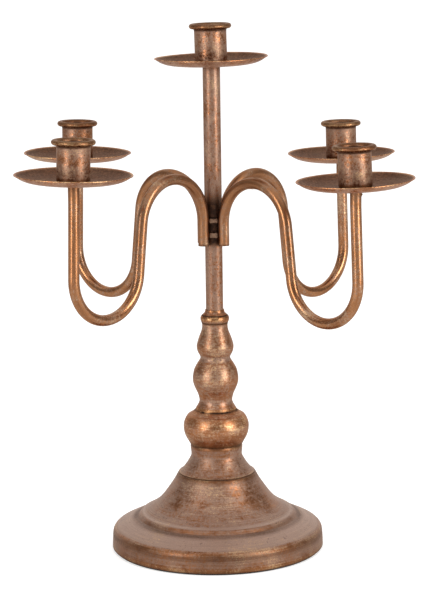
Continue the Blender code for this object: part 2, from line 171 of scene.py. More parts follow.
def smooth(points, steps):
    """A Catmull-Rom curve through the points."""
    before = tuple(2 * a - b for a, b in zip(points[0], points[1]))
    after = tuple(2 * a - b for a, b in zip(points[-1], points[-2]))
    knots = [before, *points, after]
    curve = [points[0]]
    for p0, p1, p2, p3 in zip(knots, knots[1:], knots[2:], knots[3:]):
        for i in range(1, steps + 1):
            t = i / steps
            curve.append(tuple(
                0.5 * (2 * b + (c - a) * t + (2 * a - 5 * b + 4 * c - d) * t * t
                       + (3 * b - a - 3 * c + d) * t ** 3)
                for a, b, c, d in zip(p0, p1, p2, p3)
            ))
    return curve


def scaled(points, radius, height):
    """Points that were given as shares of a radius and a height."""
    return [(r * radius, z * height) for r, z in points]


def inset(points, distance):
    """An open outline moved sideways by a distance, as the other face of a sheet."""
    moved = []
    for i, (r, z) in enumerate(points):
        ahead = points[min(i + 1, len(points) - 1)]
        behind = points[max(i - 1, 0)]
        along = Vector((ahead[0] - behind[0], ahead[1] - behind[1])).normalized()
        moved.append((r + along.y * distance, z - along.x * distance))
    return moved


def drilled(outer, bore):
    """The closed outline of a solid turned piece with a straight bore."""
    return [(bore, outer[0][1]), *outer, (bore, outer[-1][1])]


def refined(outline, longest):
    """The closed outline with no straight run longer than that, so that attributes vary along it."""
    points = []
    for i, start in enumerate(outline):
        end = outline[(i + 1) % len(outline)]
        parts = max(1, math.ceil(math.dist(start, end) / longest))
        for k in range(parts):
            share = k / parts
            points.append(tuple(a + (b - a) * share for a, b in zip(start, end)))
    return points


def worn(outline, reach):
    """How far each point of a closed outline stands proud (above 0) or lies in a hollow (below 0).

    An edge tells on the points within about the reach. The distances along the outline are second.
    """
    p = np.array(outline)
    before = p - np.roll(p, 1, axis=0)
    after = np.roll(p, -1, axis=0) - p
    turn = np.arctan2(
        before[:, 0] * after[:, 1] - before[:, 1] * after[:, 0], (before * after).sum(axis=1),
    )
    run = np.hypot(after[:, 0], after[:, 1])
    along = np.concatenate([[0.0], np.cumsum(run)[:-1]])
    apart = np.abs(along[:, None] - along[None, :])
    apart = np.minimum(apart, run.sum() - apart)
    blend = np.exp(-(apart / reach) ** 2)
    sign = 1.0 if turn.sum() > 0 else -1.0
    return sign * (blend * turn[None, :]).sum(axis=1), along


def near(value, target, reach):
    """1 at the target, fading to 0 on both sides of it over about twice the reach."""
    return math.exp(-((value - target) / reach) ** 2)


def wobble(angle, pace, shift):
    """An uneven 0 to 1 value around a turned piece."""
    spot = Vector((math.cos(angle) * pace, math.sin(angle) * pace, shift))
    return min(1.0, max(0.0, 0.5 + 1.6 * noise.noise(spot)))


# ---------------------------------------------------------------- meshes

def finished(bm, name, sharp=SHARP_EDGE):
    """The bmesh as a mesh, shaded smooth between sharp edges."""
    bmesh.ops.recalc_face_normals(bm, faces=bm.faces)
    mesh = bpy.data.meshes.new(name)
    bm.to_mesh(mesh)
    bm.free()
    mesh.shade_smooth()
    mesh.set_sharp_from_angle(angle=math.radians(sharp))
    return mesh


def painted(mesh, wear, grime_and_shade, flow):
    """The mesh with the attributes that the copper reads. Flow follows the turning or the tube."""
    for name, values in (("wear", wear), ("grime_and_shade", grime_and_shade)):
        made = mesh.attributes.new(name, "FLOAT", "POINT")
        made.data.foreach_set("value", np.array(values, dtype=np.float32))
    made = mesh.attributes.new("flow", "FLOAT_VECTOR", "POINT")
    made.data.foreach_set("vector", np.array(flow, dtype=np.float32))
    return mesh


def turned(name, outline, sides, place, reach=1.2 * MM, grime_and_shade=None, wave=None):
    """A turned piece. Reach is how far wear spreads from an edge, and wave lifts points unevenly."""
    flow_radius = 30.0 * MM
    outline = refined(outline, LONGEST_RUN)
    proud, along = worn(outline, reach)
    bm = bmesh.new()
    wear, dirt_and_shade, flow = [], [], []
    rings = []
    for k in range(sides):
        angle = math.tau * k / sides
        ring = []
        for i, (radius, height) in enumerate(outline):
            lift = wave(radius, angle) if wave else 0.0
            spot = place @ Vector((radius * math.cos(angle), radius * math.sin(angle), height + lift))
            ring.append(bm.verts.new(spot))
            wear.append(proud[i])
            dirt_and_shade.append(grime_and_shade(radius, height, angle) if grime_and_shade else 0.0)
            flow.extend((flow_radius * math.cos(angle), flow_radius * math.sin(angle), along[i]))
        rings.append(ring)
    for k, ring in enumerate(rings):
        other = rings[(k + 1) % sides]
        for i in range(len(outline)):
            j = (i + 1) % len(outline)
            bm.faces.new((ring[i], ring[j], other[j], other[i]))
    return painted(finished(bm, name), wear, dirt_and_shade, flow)


def skinned(bm, name, loops):
    """The mesh of a hollow tube. Each loop is an outer and an inner rim, joined at the tube's ends."""
    sides = len(loops[0][0])
    for first, second in zip(loops, loops[1:]):
        for skin in (0, 1):
            for k in range(sides):
                bm.faces.new((first[skin][k - 1], first[skin][k], second[skin][k], second[skin][k - 1]))
    for outer, inner in (loops[0], loops[-1]):
        for k in range(sides):
            bm.faces.new((outer[k - 1], outer[k], inner[k], inner[k - 1]))
    return finished(bm, name)


def bent_tube(name, path, radius, wall, sides, wear_at, grime_and_shade_at, swell):
    """A hollow tube along 3-D points that lie in one upright plane. Swell adds to its outer radius."""
    aside = (path[len(path) // 3] - path[0]).cross(UP).normalized()
    bm = bmesh.new()
    wear, dirt_and_shade, flow = [], [], []
    along = 0.0
    loops = []
    for i, spot in enumerate(path):
        ahead = path[min(i + 1, len(path) - 1)]
        behind = path[max(i - 1, 0)]
        forward = (ahead - behind).normalized()
        across = forward.cross(aside).normalized()
        along += (spot - behind).length if i else 0.0
        rims = []
        for size in (radius, radius - wall):
            rim = []
            for k in range(sides):
                angle = math.tau * k / sides
                out = across * math.cos(angle) + aside * math.sin(angle)
                grown = size + (swell(spot, out) if size == radius else 0.0)
                rim.append(bm.verts.new(spot + out * grown))
                wear.append(wear_at(out))
                dirt_and_shade.append(grime_and_shade_at(along, out))
                flow.extend((radius * math.cos(angle), radius * math.sin(angle), along))
            rims.append(rim)
        loops.append(rims)
    return painted(skinned(bm, name, loops), wear, dirt_and_shade, flow)


def upright_tube(name, low, high, steps, radius, wall, sides, grime_and_shade_at):
    """A hollow tube on the column's axis, from one height to another."""
    bm = bmesh.new()
    wear, dirt_and_shade, flow = [], [], []
    loops = []
    for i in range(steps + 1):
        spot = Vector((0.0, 0.0, low + (high - low) * i / steps))
        rims = []
        for size in (radius, radius - wall):
            rim = []
            for k in range(sides):
                angle = math.tau * k / sides
                out = Vector((math.cos(angle), math.sin(angle), 0.0))
                rim.append(bm.verts.new(spot + out * size))
                wear.append(0.0)
                dirt_and_shade.append(grime_and_shade_at(spot.z))
                flow.extend((size * out.x, size * out.y, spot.z - low))
            rims.append(rim)
        loops.append(rims)
    return painted(skinned(bm, name, loops), wear, dirt_and_shade, flow)


def standing(node):
    """The place of a turned piece that stands where this CAD node does."""
    return Matrix.Translation((0.0, 0.0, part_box(node)[0].z))


def add_piece(name, mesh, material, slot, *nodes):
    """A visible piece that stands for these CAD nodes."""
    piece = bpy.data.objects.new(name, mesh)
    bpy.context.scene.collection.objects.link(piece)
    mesh.materials.append(material)
    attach(piece, "root")
    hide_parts(*nodes)


# ---------------------------------------------------------------- materials

class Graph:
    """Short ways to add and join the shader nodes of a material or a world."""

    def __init__(self, owner, shader="Principled BSDF"):
        self.owner = owner
        self.owner.use_nodes = True
        self.tree = self.owner.node_tree
        self.shader = self.tree.nodes[shader]

    def node(self, kind, inputs=None, **settings):
        """A new node with these settings, and values or links for its inputs."""
        made = self.tree.nodes.new(kind)
        for key, value in settings.items():
            setattr(made, key, value)
        for key, value in (inputs or {}).items():
            self.feed(made.inputs[key], value)
        return made

    def feed(self, socket, value):
        """Links an output to the socket, or sets the socket to a value."""
        if isinstance(value, bpy.types.NodeSocket):
            self.tree.links.new(value, socket)
        else:
            socket.default_value = value

    def coordinates(self, output="Object"):
        return self.node("ShaderNodeTexCoord").outputs[output]

    def attribute(self, name, output="Fac"):
        return self.node("ShaderNodeAttribute", attribute_name=name).outputs[output]

    def maths(self, operation, a, b, c=0.0, clamp=False):
        made = self.node("ShaderNodeMath", {0: a, 1: b, 2: c}, operation=operation, use_clamp=clamp)
        return made.outputs[0]

    def total(self, *terms, start=0.0):
        """A weighted sum of values."""
        result = start
        for value, weight in terms:
            result = self.maths("MULTIPLY_ADD", value, weight, result)
        return result

    def mapped(self, vector, **inputs):
        """Coordinates moved by Location or stretched by Scale."""
        return self.node("ShaderNodeMapping", {"Vector": vector, **inputs}).outputs["Vector"]

    def noise(self, vector, scale, detail, roughness, distortion=0.0):
        made = self.node("ShaderNodeTexNoise", {
            "Vector": vector, "Scale": scale, "Detail": detail, "Roughness": roughness,
            "Distortion": distortion,
        })
        return made.outputs["Fac"]

    def spread(self, value, low, high, to_low=0.0, to_high=1.0, smooth_ends=True):
        """The stretch from low to high, spread over another stretch and held at its ends."""
        made = self.node("ShaderNodeMapRange", {
            "Value": value, "From Min": low, "From Max": high, "To Min": to_low, "To Max": to_high,
        })
        made.interpolation_type = "SMOOTHSTEP" if smooth_ends else "LINEAR"
        return made.outputs["Result"]

    def even(self, value):
        """A noise value spread out to fill 0 to 1."""
        return self.spread(value, 0.34, 0.66, smooth_ends=False)

    def mix(self, share, first, second, blend="MIX"):
        made = self.node("ShaderNodeMix", data_type="RGBA", blend_type=blend)
        self.feed(made.inputs["Factor"], share)
        self.feed(made.inputs[6], first)
        self.feed(made.inputs[7], second)
        return made.outputs[2]

    def bump(self, height, distance, normal=None):
        made = self.node("ShaderNodeBump", {"Height": height, "Distance": distance, "Strength": 1.0})
        if normal is not None:
            self.feed(made.inputs["Normal"], normal)
        return made.outputs["Normal"]


def rgb(red, green, blue, light=1.0):
    """A linear colour from 0-255 display values, which light makes brighter or darker."""
    linear = []
    for value in (red, green, blue):
        share = value * light / 255
        linear.append(share / 12.92 if share <= 0.04045 else ((share + 0.055) / 1.055) ** 2.4)
    return (*linear, 1.0)


# Dark, pale and rubbed metal, and then what lies on it, as 0-255 display values
BROWN = ((134, 86, 57), (168, 112, 73), (214, 174, 126))
GOLDEN = ((144, 96, 64), (184, 129, 87), (230, 192, 142))
BLOOM = (158, 130, 115)
DUST = (186, 160, 146)
# This dark colour also stands for painted shade
OXIDE_AND_SHADE = (62, 41, 31)


def aged_copper(name, rosy, rubbed, streaks, flecks, dull, along=1400.0, light=1.0, drawn=0.0,
                dusty=0.0, patina=0.14, relief=1.0, mottle=0.22, tones=BROWN,
                edge_tint=(0.85, 0.70, 0.60)):
    """Antiqued copper: brown metal under a rosy grey bloom, dark flecks, and scuffs of brighter metal.

    Rosy, rubbed, streaks and flecks say how much of each there is, from 0 to 1. Dull is the bare
    metal's roughness, and patina is what the bloom adds to it. Dusty adds bloom where metal faces up,
    drawn stretches the patches along a tube, and along is the streaks' pace along the flow. Noise
    scales are per metre.
    """
    g = Graph(bpy.data.materials.new(name))
    place = g.coordinates()
    flow = g.attribute("flow", "Vector")
    wear = g.attribute("wear")
    raised = g.spread(wear, 0.25, 1.3)
    hollow = g.spread(wear, -0.15, -0.9)
    # The grime attribute holds real dirt and dark joints together with painted shade in creases,
    # recesses, insides and under overhangs
    grime_and_shade = g.attribute("grime_and_shade")

    def spotted(shift, scale, detail, roughness, distortion=0.0):
        return g.even(g.noise(g.mapped(place, Location=shift), scale, detail, roughness, distortion))

    def streaked(scale, detail, roughness, distortion=0.0):
        return g.even(g.noise(g.mapped(flow, Scale=scale), 1.0, detail, roughness, distortion))

    cloud = g.even(g.noise(place, 34.0, 4.0, 0.6, 0.6))
    if drawn:
        patch = streaked((260.0, 260.0, 260.0 * drawn), 5.0, 0.65, 0.3)
    else:
        patch = spotted((0.2, 0.7, 0.4), 120.0, 5.0, 0.65, 0.5)
    speck = spotted((0.31, 0.17, 0.05), 560.0, 4.0, 0.7)
    fleck = spotted((0.77, 0.27, 0.65), 420.0, 5.0, 0.75, 0.4)
    grain = spotted((0.11, 0.47, 0.29), 1500.0, 3.0, 0.7)
    line = streaked((90.0, 90.0, along), 4.0, 0.65)
    band = streaked((14.0, 14.0, along * 0.2), 3.0, 0.6)

    # Rosy grey bloom, broken up by patches and turning lines, and less of it where there is grime and
    # where shade is painted
    bloom = g.total((cloud, 0.28), (patch, 0.16), (line, 0.22 * streaks), (speck, 0.32),
                    (band, 0.16 * streaks))
    bloom = g.total((bloom, 1.0 / (0.76 + 0.38 * streaks)), (raised, -0.22), (hollow, 0.20))
    if dusty:
        facing = g.node("ShaderNodeSeparateXYZ", {0: g.node("ShaderNodeNewGeometry").outputs["Normal"]})
        dust = g.maths("MULTIPLY", g.spread(facing.outputs["Z"], 0.80, 0.98), dusty)
        bloom = g.maths("ADD", bloom, dust)
    centre = 0.5 - 0.35 * (rosy - 0.5)
    bloom = g.spread(bloom, centre - 0.19, centre + 0.19)
    bloom = g.maths("MULTIPLY", bloom, g.maths("MULTIPLY_ADD", grime_and_shade, -0.75, 1.0, clamp=True))

    # Dark oxide in flecks and in hollows, and the same dark colour for grime and for painted shade
    dark_share = g.total((fleck, 0.62), (patch, 0.12), (band, 0.12 * streaks), (grain, 0.22))
    dark_share = g.total((dark_share, 1.0 / (0.96 + 0.12 * streaks)), (hollow, 0.12), (raised, -0.05))
    edge = 0.72 - 0.16 * (flecks - 0.5)
    dark_share = g.maths("MULTIPLY", g.spread(dark_share, edge - 0.06, edge + 0.16), 0.8)
    darkened = g.maths("MULTIPLY", grime_and_shade, g.spread(speck, 0.0, 0.8, 0.82, 1.12))
    dark_share = g.maths("MAXIMUM", dark_share, darkened, clamp=True)

    # Brighter metal where it was rubbed
    scuff = g.total((cloud, 0.32), (grain, 0.30), (line, 0.25 * streaks), (speck, 0.25))
    scuff = g.total((scuff, 1.0 / (0.87 + 0.25 * streaks)), (raised, 0.14))
    start = 0.58 - 0.20 * (rubbed - 0.5)
    shine = g.maths("MULTIPLY", g.spread(scuff, start, start + 0.28), 0.70)

    dark, pale, gold = (rgb(*tone, light) for tone in tones)
    colour = g.mix(g.maths("MULTIPLY", bloom, 0.85), g.mix(patch, dark, pale), rgb(*BLOOM, light))
    if dusty:
        colour = g.mix(g.maths("MULTIPLY", dust, bloom), colour, rgb(*DUST))
    colour = g.mix(shine, colour, gold)
    colour = g.mix(dark_share, colour, rgb(*OXIDE_AND_SHADE))
    tone = g.spread(g.total((line, 0.5 * streaks), (grain, 0.6)), 0.0, 0.6 + 0.5 * streaks,
                    1.0 - mottle, 1.0 + mottle, smooth_ends=False)
    tint = g.node("ShaderNodeCombineColor", {0: tone, 1: tone, 2: tone}).outputs[0]
    g.feed(g.shader.inputs["Base Color"], g.mix(1.0, colour, tint, "MULTIPLY"))

    bare = g.maths("SUBTRACT", 1.0, dark_share)
    metal = g.total((g.maths("MULTIPLY", bloom, bare), -0.20), (dark_share, -0.04), start=0.98)
    g.feed(g.shader.inputs["Metallic"], g.maths("MAXIMUM", metal, 0.0, clamp=True))
    rough = g.total((bloom, patina), (dark_share, 0.14), (darkened, 0.22), (speck, 0.08 * relief),
                    (shine, -0.05), start=dull)
    g.feed(g.shader.inputs["Roughness"], rough)
    g.shader.inputs["Coat Weight"].default_value = 0.10
    g.shader.inputs["Coat Roughness"].default_value = 0.25
    g.shader.inputs["Specular Tint"].default_value = (*edge_tint, 1.0)

    normal = g.bump(cloud, 0.25 * MM * relief)
    normal = g.bump(patch, 0.12 * MM * relief, normal)
    normal = g.bump(speck, 0.035 * MM * relief, normal)
    normal = g.bump(line, 0.020 * MM * streaks, normal)
    g.feed(g.shader.inputs["Normal"], normal)
    return g.owner


def plated_steel(name):
    """Zinc-plated steel with cloudy patches and small dark pits, for the hidden hardware."""
    g = Graph(bpy.data.materials.new(name))
    place = g.coordinates()
    cloud = g.noise(place, 260.0, 4.0, 0.6)
    grain = g.noise(place, 1900.0, 3.0, 0.6)
    colour = g.mix(g.spread(cloud, 0.35, 0.7), rgb(176, 172, 165), rgb(132, 126, 118))
    colour = g.mix(g.spread(grain, 0.55, 0.8), colour, rgb(92, 80, 70))
    g.feed(g.shader.inputs["Base Color"], colour)
    g.shader.inputs["Metallic"].default_value = 1.0
    g.feed(g.shader.inputs["Roughness"], g.spread(grain, 0.2, 0.8, 0.26, 0.5))
    g.feed(g.shader.inputs["Normal"], g.bump(grain, 0.03 * MM, g.bump(cloud, 0.1 * MM)))
    return g.owner


def braze_metal(name):
    """Lumpy brazing filler, dull and a little sooty."""
    g = Graph(bpy.data.materials.new(name))
    place = g.coordinates()
    lump = g.noise(place, 420.0, 4.0, 0.6, 0.3)
    grain = g.noise(place, 1700.0, 3.0, 0.6)
    colour = g.mix(g.spread(lump, 0.35, 0.65), rgb(122, 92, 74), rgb(150, 120, 98))
    colour = g.mix(g.spread(grain, 0.55, 0.75), colour, rgb(80, 60, 48))
    g.feed(g.shader.inputs["Base Color"], colour)
    g.feed(g.shader.inputs["Metallic"], g.spread(grain, 0.3, 0.7, 0.9, 0.6))
    g.feed(g.shader.inputs["Roughness"], g.spread(grain, 0.2, 0.8, 0.36, 0.6))
    g.feed(g.shader.inputs["Normal"], g.bump(grain, 0.05 * MM, g.bump(lump, 0.3 * MM)))
    return g.owner


def felt(name):
    """Black felt with fibres and tufts."""
    g = Graph(bpy.data.materials.new(name))
    place = g.coordinates()
    fibre = g.noise(place, 1500.0, 5.0, 0.75, 1.2)
    tuft = g.noise(place, 300.0, 3.0, 0.6)
    colour = g.mix(g.spread(fibre, 0.35, 0.7), rgb(24, 22, 21), rgb(58, 54, 51))
    g.feed(g.shader.inputs["Base Color"], colour)
    g.feed(g.shader.inputs["Roughness"], g.spread(fibre, 0.2, 0.8, 0.85, 1.0))
    g.shader.inputs["Sheen Weight"].default_value = 0.4
    g.feed(g.shader.inputs["Normal"], g.bump(fibre, 0.12 * MM, g.bump(tuft, 0.2 * MM)))
    return g.owner


# ---------------------------------------------------------------- column and foot

def make_foot(material):
    """The spun shell: bell, step, shoulder and upright edge, turned in under the foot."""
    bell = smooth(scaled([
        (0.366, 0.995), (0.430, 0.842), (0.551, 0.619), (0.686, 0.481),
    ], BASE_RADIUS, BASE_HEIGHT), 8)
    step = scaled([
        (0.720, 0.461), (0.740, 0.430), (0.754, 0.408), (0.792, 0.387),
        (0.853, 0.350), (0.912, 0.310), (0.957, 0.278), (0.978, 0.252),
    ], BASE_RADIUS, BASE_HEIGHT)
    step = smooth([bell[-1], *step], 4)[1:]
    edge = smooth(scaled([
        (0.978, 0.252), (0.991, 0.215), (0.997, 0.12), (1.0, 0.0),
    ], BASE_RADIUS, BASE_HEIGHT), 4)[1:]
    outer = bell + step + edge
    wall_end = (outer[-1][0] - BASE_SHEET, BASE_SHEET)
    inner = inset(outer, BASE_SHEET)[:-1]
    crown = (inner[0][0], BASE_HEIGHT - BASE_SHEET)
    turn_in = BASE_RADIUS - BASE_TURN_IN
    outline = [
        (ROD_BORE, BASE_HEIGHT), (outer[0][0] - 0.4 * MM, BASE_HEIGHT), *outer,
        (turn_in, 0.0), (turn_in, BASE_SHEET), wall_end, *reversed(inner[1:]), crown,
        (ROD_BORE, BASE_HEIGHT - BASE_SHEET),
    ]
    collar_edge = 0.366 * BASE_RADIUS
    step_crease = 0.772 * BASE_RADIUS
    upright_edge = 0.975 * BASE_RADIUS
    upright_crease = 0.19 * BASE_HEIGHT

    # Painted shade: under the collar's lip, in the step's crease, over the whole upright edge with a
    # darker band near its top, and where the foot meets the floor
    def grime_and_shade(radius, height, angle):
        under_collar = near(radius, collar_edge, 1.6 * MM) * 0.45
        uneven = 0.7 + 0.3 * wobble(angle, 2.0, 0.6)
        crease = near(radius, step_crease, 2.8 * MM) * 0.55 * uneven
        foot_edge = near(height, 0.0, 1.2 * MM) * 0.6
        wall = 0.0
        if radius > upright_edge:
            wall = 0.14 + 0.34 * near(height, upright_crease, 2.4 * MM)
        return max(under_collar, crease, wall, foot_edge)

    mesh = turned("foot_bell", outline, FOOT_SIDES, standing("base_shell"), 3.2 * MM, grime_and_shade)
    add_piece("foot_bell", mesh, material, "antique_copper", "base_shell")


def make_felt(material):
    """The pad glued under the foot."""
    middle = 0.2 * MM
    side = FELT_RADIUS - FELT_ROUNDING
    outline = [
        (middle, FELT_THICKNESS),
        *arc((side, FELT_THICKNESS - FELT_ROUNDING), FELT_ROUNDING, 90.0, 0.0, 4),
        *arc((side, FELT_ROUNDING), FELT_ROUNDING, 0.0, -90.0, 4), (middle, 0.0),
    ]
    mesh = turned("foot_felt", outline, FELT_SIDES, standing("felt_pad"))
    add_piece("foot_felt", mesh, material, "felt", "felt_pad")


def make_collar(material):
    """The ring that covers the top of the bell with its flared lip."""
    outer = smooth(scaled([
        (0.662, 1.0), (0.677, 0.94), (0.674, 0.84), (0.662, 0.70), (0.668, 0.585),
        (0.703, 0.48), (0.773, 0.323), (0.862, 0.162), (0.937, 0.061), (0.985, 0.022),
        (1.0, 0.0),
    ], COLLAR_LIP_RADIUS, COLLAR_HEIGHT), 5)

    # Painted shade at the top, under the bun; a dark joint line at the lip's foot
    def grime_and_shade(radius, height, angle):
        return max(near(height, COLLAR_HEIGHT, 1.6 * MM) * 0.55, near(height, 0.0, 0.5 * MM) * 0.8)

    mesh = turned("foot_collar", drilled(outer, ROD_BORE), COLLAR_SIDES, standing("base_collar"),
                  2.0 * MM, grime_and_shade)
    add_piece("foot_collar", mesh, material, "antique_copper", "base_collar")


def make_ball(material):
    """The large bun, with a broken dark line where the baluster stands on it and painted shade on its
    underside.
    """
    outer = smooth(scaled([
        (0.645, 1.0), (0.680, 0.968), (0.790, 0.896), (0.890, 0.828), (0.985, 0.640),
        (0.998, 0.455), (0.948, 0.255), (0.803, 0.0),
    ], BALL_RADIUS, BALL_HEIGHT), 9)

    def grime_and_shade(radius, height, angle):
        broken = 0.25 + 0.75 * wobble(angle, 3.0, 0.2)
        # A broken dark joint line at the top; painted shade on the underside, above the collar
        return max(near(height, BALL_HEIGHT, 0.9 * MM) * broken, near(height, 0.0, 2.2 * MM) * 0.7)

    mesh = turned("column_bun", drilled(outer, ROD_BORE), BALL_SIDES, standing("column_ball"),
                  4.0 * MM, grime_and_shade)
    add_piece("column_bun", mesh, material, "antique_copper", "column_ball")


def make_baluster(material):
    """From the top: bead, neck, upper bulb, waist, lower bulb and flared foot."""
    outer = smooth(scaled([
        (0.585, 1.0), (0.620, 0.983), (0.625, 0.957), (0.590, 0.932), (0.558, 0.900),
        (0.585, 0.846), (0.690, 0.780), (0.778, 0.715), (0.808, 0.669), (0.768, 0.618),
        (0.665, 0.570), (0.668, 0.541), (0.800, 0.490), (0.928, 0.432), (0.990, 0.365),
        (1.0, 0.325), (0.982, 0.285), (0.900, 0.230), (0.790, 0.173), (0.722, 0.108),
        (0.755, 0.068), (0.860, 0.024), (0.915, 0.0),
    ], BALUSTER_RADIUS, BALUSTER_HEIGHT), 6)
    bead_foot = BALUSTER_HEIGHT * 0.925

    def grime_and_shade(radius, height, angle):
        broken = 0.15 + 0.85 * wobble(angle, 3.0, 0.2)
        # Painted shade under the bead; a broken dark joint line at the foot
        under_bead = near(height, bead_foot, 0.9 * MM) * 0.8
        return max(under_bead, near(height, 0.0, 0.7 * MM) * broken)

    mesh = turned("column_baluster", drilled(outer, ROD_BORE), BALUSTER_SIDES, standing("baluster"),
                  2.6 * MM, grime_and_shade)
    add_piece("column_baluster", mesh, material, "antique_copper", "baluster")


def make_ferrule(material):
    """The small coved ring at the foot of the stem."""
    bore = STEM_RADIUS + GAP
    cove_top = bore + 0.35 * MM
    cove = smooth([
        (cove_top, FERRULE_HEIGHT), (cove_top + 0.45 * MM, FERRULE_HEIGHT * 0.55),
        (FERRULE_FOOT_RADIUS - 0.9 * MM, FERRULE_HEIGHT * 0.17), (FERRULE_FOOT_RADIUS, 0.0),
    ], 6)

    def grime_and_shade(radius, height, angle):
        return near(height, 0.0, 0.6 * MM)

    mesh = turned("stem_cove", drilled(cove, bore), FERRULE_SIDES, standing("stem_ferrule"),
                  0.8 * MM, grime_and_shade)
    add_piece("stem_cove", mesh, material, "antique_copper", "stem_ferrule")


def make_stem(material):
    """The stem, darker for a stretch above the arm joint, and with painted shade just under the top
    pan.
    """
    low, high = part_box("stem_tube")

    def grime_and_shade_at(height):
        start = 1.0 / (1.0 + math.exp((ARM_JOINT_HEIGHT - height) / (1.0 * MM)))
        end = 1.0 / (1.0 + math.exp((height - ARM_JOINT_HEIGHT - STEM_DARK_HEIGHT) / (2.6 * MM)))
        # Painted shade under the top pan
        under_pan = near(height, high.z, 3.0 * MM) * 0.6
        return max(start * end, under_pan)

    mesh = upright_tube("stem_pole", low.z, high.z, STEM_STEPS, STEM_RADIUS, STEM_WALL, STEM_SIDES,
                        grime_and_shade_at)
    add_piece("stem_pole", mesh, material, "antique_copper", "stem_tube")


# ---------------------------------------------------------------- arms

def onward(path, sideways, upward, steps):
    """The path with a straight run added at its end."""
    r, z = path[-1]
    return path + [(r + sideways * (i / steps), z + upward * (i / steps)) for i in range(1, steps + 1)]


def arm_path(lift, longer_drop, longer_rise):
    """An arm's middle line from its lower end, as distances from the stem's axis and heights."""
    slant = math.radians(ARM_SLANT)
    lean = math.radians(ARM_LEAN)
    path = onward([(ARM_OFFSET, ARM_JOINT_HEIGHT)], 0.0, ARM_UPRIGHT + lift, 10)
    arch = (ARM_OFFSET + ARM_BEND_RADIUS, path[-1][1])
    path += arc(arch, ARM_BEND_RADIUS, 180.0, ARM_SLANT, ARM_BEND_STEPS)[1:]
    drop = ARM_DROP + longer_drop
    path = onward(path, drop * math.sin(slant), -drop * math.cos(slant), 12)
    out, down = path[-1]
    bend = (out + ARM_BEND_RADIUS * math.cos(slant), down + ARM_BEND_RADIUS * math.sin(slant))
    path += arc(bend, ARM_BEND_RADIUS, 180.0 + ARM_SLANT, 360.0 + ARM_LEAN, ARM_BEND_STEPS)[1:]
    leaning = ARM_RISE + longer_rise - ARM_RISE_TOP
    path = onward(path, -leaning * math.tan(lean), leaning, 16)
    return onward(path, 0.0, ARM_RISE_TOP, 28)


def make_arm(place, azimuth, changes, material):
    """A bent arm. A small run of solder was left under the pan of one of them."""
    azimuth = math.radians(azimuth)
    path = [Vector((r * math.cos(azimuth), r * math.sin(azimuth), z)) for r, z in arm_path(*changes)]
    length = sum((b - a).length for a, b in zip(path, path[1:]))
    solder_height = path[-1].z - SOLDER_BELOW_TOP

    def soldered(out, reach):
        """1 on the side that the solder ran down, fading over the reach, and 0 on the other arms."""
        if place != SOLDER_ARM or out.x <= 0.0:
            return 0.0
        return near(out.y, 0.0, reach)

    def swell(spot, out):
        return SOLDER_SIZE * near(spot.z, solder_height, 1.1 * MM) * soldered(out, 0.28)

    def wear_at(out):
        """The undersides were rubbed more."""
        return 0.10 + 0.18 * max(0.0, -out.z)

    def grime_and_shade_at(along, out):
        # Painted shade near the top, under the pan; a dark joint at the foot, a run of solder, and a
        # little darker along the arch
        top = near(along, length, 9.0 * MM) * 0.55
        foot = near(along, 0.0, 1.0 * MM) * 0.8
        arch = near(along, 66.0 * MM, 62.0 * MM) * 0.24
        solder = near(along, length - SOLDER_BELOW_TOP, 1.4 * MM) * soldered(out, 0.4)
        return max(top, foot, solder, arch)

    mesh = bent_tube("branch_" + place, path, ARM_RADIUS, ARM_WALL, ARM_SIDES, wear_at, grime_and_shade_at, swell)
    add_piece("branch_" + place, mesh, material, "antique_copper", "arm_" + place)


def make_tacks(material):
    """The tacks of filler between neighbouring arms, at two heights."""
    places = list(ARMS)
    for place, following in zip(places, places[1:] + places[:1]):
        start = ARMS[place][0]
        spread = (ARMS[following][0] - start) % 360.0
        middle = math.radians(start + spread / 2)
        half_gap = ARM_OFFSET * math.sin(math.radians(spread / 2)) - ARM_RADIUS - GAP
        against_stem = STEM_RADIUS + GAP + TACK_DEPTH / 2
        distance = max(against_stem, ARM_OFFSET * math.cos(math.radians(spread / 2)))
        for level, rise in TACK_LEVELS.items():
            name = f"tack_{level}_{place}"
            mesh = tack_mesh(name, half_gap, distance, middle, ARM_JOINT_HEIGHT + rise)
            add_piece(name, mesh, material, "braze", f"braze_{level}_{place}")


def tack_mesh(name, half_gap, distance, middle, height):
    """A lump of filler that is drawn in at its middle, as it wets the tubes on both sides."""
    bm = bmesh.new()
    bmesh.ops.create_cube(bm, size=2.0)
    bmesh.ops.subdivide_edges(bm, edges=bm.edges, cuts=TACK_CUTS, use_grid_fill=True)
    turn = Matrix.Rotation(middle, 3, "Z")
    centre = Vector((distance * math.cos(middle), distance * math.sin(middle), height))
    for v in bm.verts:
        x, y, z = v.co
        inside = (abs(x) ** 4 + abs(y) ** 6 + abs(z) ** 4) ** 0.25
        co = v.co / max(inside, 1.0)
        pinch = 1.0 - 0.28 * (1.0 - abs(co.y))
        spot = Vector((co.x * TACK_DEPTH / 2 * pinch, co.y * half_gap, co.z * TACK_HEIGHT / 2 * pinch))
        lump = noise.noise((centre + turn @ spot) * 620.0) * TACK_LUMPS
        spot += Vector((co.x, 0.0, co.z)) * lump
        v.co = centre + turn @ spot
    return finished(bm, name, SHARP_TACK_EDGE)


# ---------------------------------------------------------------- lights

def light_places():
    """Each light's name and the matrix of the point where its pan sits, found from its candle seat."""
    found = {}
    seat_height = GAP + PAN_SHEET + GAP + CUP_FLOOR
    for mount in frame["record"]["mounts"]:
        if not mount["name"].startswith("candle_seat_"):
            continue
        up = Vector(mount["axis"]).normalized()
        turn = Matrix.Rotation(math.atan2(up.x, up.z), 4, "Y")
        origin = Vector(mount["pos_m"]) - turn.to_3x3() @ Vector((SEAT_OFFSET, 0.0, seat_height))
        found[mount["name"].removeprefix("candle_seat_")] = Matrix.Translation(origin) @ turn
    return found


def pan_rise(share):
    """How high the pan's underside is, at a share of the way from its flat middle to its rim."""
    return PAN_DEPTH * share ** PAN_CURVE_POWER


